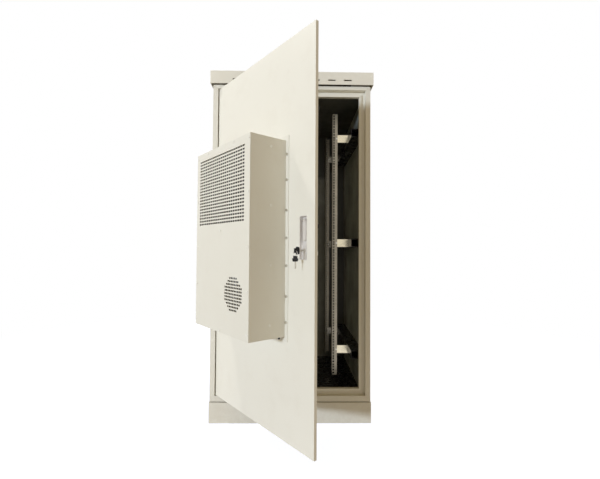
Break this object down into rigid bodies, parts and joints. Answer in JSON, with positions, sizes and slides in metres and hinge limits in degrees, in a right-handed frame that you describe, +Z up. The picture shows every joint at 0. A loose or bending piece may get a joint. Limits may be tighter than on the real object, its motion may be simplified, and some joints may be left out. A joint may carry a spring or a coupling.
{
  "type": "roadside utility cabinet",
  "caption": "Steel roadside utility cabinet on a plinth, with a vented roof cap, rack rails inside and a hinged door that carries an air conditioner and a key lock.",
  "frame": {"origin": "on the ground, at the centre of the four anchor holes in the plinth, which is the centre of the cabinet's footprint", "axes": "+X to the right seen from the front, +Y to the back, +Z up; the front face looks along -Y"},
  "size_m": [0.8358, 1.3838, 1.762],
  "materials": {
    "cabinet_paint": "satin",
    "unit_paint": "satin",
    "galvanised": "satin",
    "dark_foam": "matte",
    "black_rubber": "matte",
    "zinc_steel": "satin",
    "stainless": "satin",
    "black_plastic": "matte",
    "fin_aluminium": "satin",
    "black_paint": "satin",
    "copper": "satin"
  },
  "bodies": {
    "cabinet": {"plinth_side_channels": "cabinet_paint", "plinth_end_covers": "cabinet_paint", "floor_panel": "black_paint", "cable_grommets": "black_rubber", "left_side_panel": "cabinet_paint", "right_side_panel": "cabinet_paint", "rear_panel": "cabinet_paint", "roof_panel": "cabinet_paint", "roof_bearers": "galvanised", "roof_cap": "cabinet_paint", "side_insulation": "dark_foam", "rear_insulation": "dark_foam", "ceiling_insulation": "dark_foam", "frame_left": "cabinet_paint", "frame_right": "cabinet_paint", "frame_top": "cabinet_paint", "frame_bottom": "cabinet_paint", "rail_front_left": "galvanised", "rail_front_right": "galvanised", "rail_rear_left": "galvanised", "rail_rear_right": "galvanised", "rack_beams": "black_paint", "rail_brackets": "galvanised", "rack_bolts": "zinc_steel", "hinge_frame_leaves": "zinc_steel", "hinge_pins": "zinc_steel"},
    "door": {"door_skin": "cabinet_paint", "door_liner": "dark_foam", "door_gasket": "black_rubber", "hinge_door_leaves": "zinc_steel", "lock_pan": "stainless", "lock_barrel": "stainless", "lever_pin": "zinc_steel", "rod_guides": "black_plastic", "ac_tray": "unit_paint", "ac_casing": "unit_paint", "ac_front_panel": "unit_paint", "ac_flange_bolts": "zinc_steel", "ac_cover_screws": "zinc_steel", "ac_partition": "galvanised", "condenser_coil": "fin_aluminium", "evaporator_coil": "fin_aluminium", "compressor": "black_paint", "condenser_fan_frame": "black_plastic", "room_fan_frame": "black_plastic", "ac_control_box": "black_plastic", "refrigerant_pipes": "copper", "drain_spout": "black_rubber"},
    "lever": {"lock_lever": "stainless"},
    "lock_core": {"lock_plug": "zinc_steel", "lock_cam": "zinc_steel", "key_blade": "zinc_steel", "key_head": "black_plastic"},
    "upper_rod": {"upper_lock_rod": "zinc_steel"},
    "lower_rod": {"lower_lock_rod": "zinc_steel"},
    "spare_key": {"key_ring": "zinc_steel", "spare_key_blade": "zinc_steel", "spare_key_head": "black_plastic"},
    "condenser_impeller": {"condenser_fan": "black_plastic"},
    "room_impeller": {"room_fan": "black_plastic"}
  },
  "joints": [
    {"name": "door_hinge", "type": "hinge", "parent": "cabinet", "child": "door", "pos_m": [-0.3625, -0.3935, 0.905], "axis": [0, 0, -1], "range_deg": [-51.6, 58.4]},
    {"name": "lever_lift", "type": "hinge", "parent": "door", "child": "lever", "pos_m": [0.05391, -0.91647, 0.966], "axis": [-0.6211, 0.7837, 0], "range_deg": [0, 60]},
    {"name": "key_turn", "type": "hinge", "parent": "door", "child": "lock_core", "pos_m": [0.04764, -0.92144, 0.8555], "axis": [-0.7837, -0.6211, 0], "range_deg": [0, 90]},
    {"name": "upper_rod_slide", "type": "slide", "parent": "door", "child": "upper_rod", "axis": [0, 0, 1], "range_m": [0, 0.02]},
    {"name": "lower_rod_slide", "type": "slide", "parent": "door", "child": "lower_rod", "axis": [0, 0, -1], "range_m": [0, 0.02]},
    {"name": "spare_key_swing", "type": "hinge", "parent": "lock_core", "child": "spare_key", "pos_m": [0.01904, -0.94411, 0.8555], "axis": [-0.6211, 0.7837, 0], "range_deg": [-20, 70]},
    {"name": "condenser_fan_spin", "type": "hinge", "parent": "door", "child": "condenser_impeller", "pos_m": [-0.1952, -0.83319, 0.689], "axis": [-0.7837, -0.6211, 0], "continuous": true},
    {"name": "room_fan_spin", "type": "hinge", "parent": "door", "child": "room_impeller", "pos_m": [-0.1477, -0.65646, 1.069], "axis": [0.7837, 0.6211, 0], "continuous": true}
  ],
  "couplings": [
    {"joint": "upper_rod_slide", "follows": "key_turn", "m_per_rad": 0.01272},
    {"joint": "lower_rod_slide", "follows": "key_turn", "m_per_rad": 0.01272}
  ]
}
